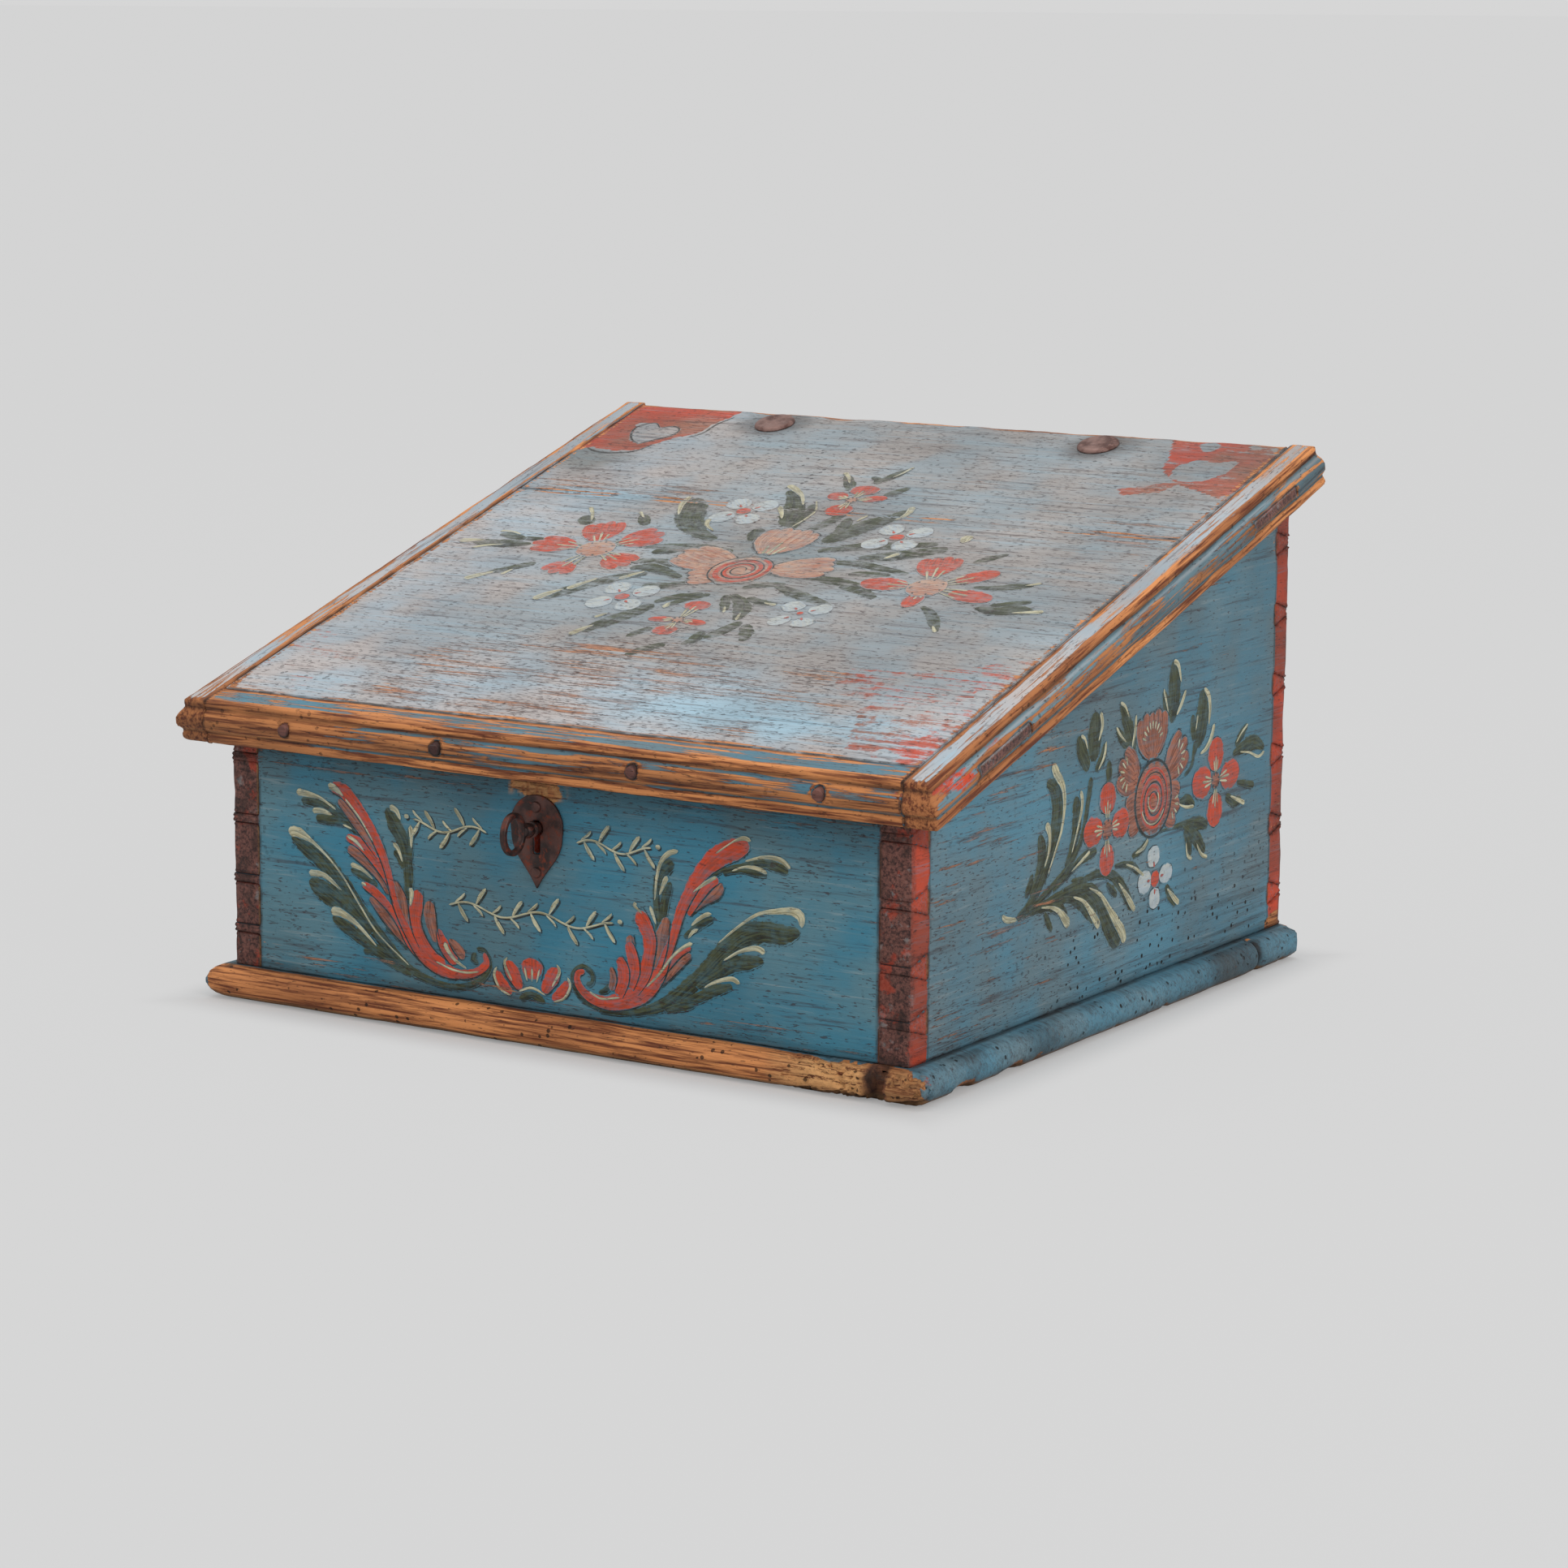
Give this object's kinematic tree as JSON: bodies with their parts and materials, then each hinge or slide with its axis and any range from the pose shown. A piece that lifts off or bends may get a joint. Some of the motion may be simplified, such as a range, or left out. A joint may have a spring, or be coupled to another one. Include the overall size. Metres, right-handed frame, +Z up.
{
  "type": "lap desk with lift lid",
  "caption": "Slant-top lap desk: a dovetailed wooden case with a hinged, moulded lid that lifts for papers, and a key lock at the front.",
  "frame": {"origin": "middle of the underside of the bottom planks, on the surface the desk stands on", "axes": "+X to the right across the front, +Y from the front to the back, +Z up; the key side faces -Y"},
  "size_m": [0.489, 0.4596, 0.3031],
  "materials": {
    "painted_case": "aged distemper paint, matt, worn through in places",
    "painted_lid": "aged distemper paint, worn to the wood along the grain",
    "lid_moulding": "worn pine moulding with remains of paint",
    "bottom_wood": "bare pine at the front, painted blue at the ends",
    "pegs": "end grain of wooden pegs",
    "forged_iron": "forged iron, brown with rust",
    "key_iron": "forged iron, polished by handling"
  },
  "bodies": {
    "case": {"front_board": "painted_case", "back_board": "painted_case", "left_side_board": "painted_case", "right_side_board": "painted_case", "bottom_front_plank": "bottom_wood", "bottom_rear_plank": "bottom_wood", "bottom_pegs": "pegs", "hinge_leaf_left": "forged_iron", "hinge_leaf_right": "forged_iron", "hinge_pin_left": "forged_iron", "hinge_pin_right": "forged_iron", "hinge_leaf_nails": "forged_iron", "escutcheon": "forged_iron", "escutcheon_nails": "forged_iron", "lock_case": "forged_iron", "lock_nails": "forged_iron", "lock_guides": "forged_iron", "lock_spring": "forged_iron", "lock_drill_pin": "forged_iron", "lock_ward": "forged_iron"},
    "lid": {"lid_front_plank": "painted_lid", "lid_rear_plank": "painted_lid", "lid_front_strip": "lid_moulding", "lid_left_cleat": "lid_moulding", "lid_right_cleat": "lid_moulding", "lid_strip_pegs": "pegs", "hinge_strap_left": "forged_iron", "hinge_strap_right": "forged_iron", "hinge_rivet_left": "forged_iron", "hinge_rivet_right": "forged_iron", "hinge_strap_nails": "forged_iron", "lid_staple": "forged_iron", "lid_staple_nails": "forged_iron"},
    "key": {"key": "key_iron"},
    "bolt": {"lock_bolt": "forged_iron"}
  },
  "joints": [
    {"name": "lid_hinge", "type": "hinge", "parent": "case", "child": "lid", "pos_m": [0, 0.215, 0.27505], "axis": [-1, 0, 0], "range_deg": [0, 112]},
    {"name": "key_turn", "type": "hinge", "parent": "case", "child": "key", "pos_m": [-0.011, -0.2, 0.1185], "axis": [0, 1, 0], "range_deg": [0, 60]},
    {"name": "bolt_slide", "type": "slide", "parent": "case", "child": "bolt", "axis": [1, 0, 0], "range_m": [0, 0.009]}
  ],
  "couplings": [
    {"joint": "bolt_slide", "follows": "key_turn", "m_per_rad": 0.0085943}
  ]
}
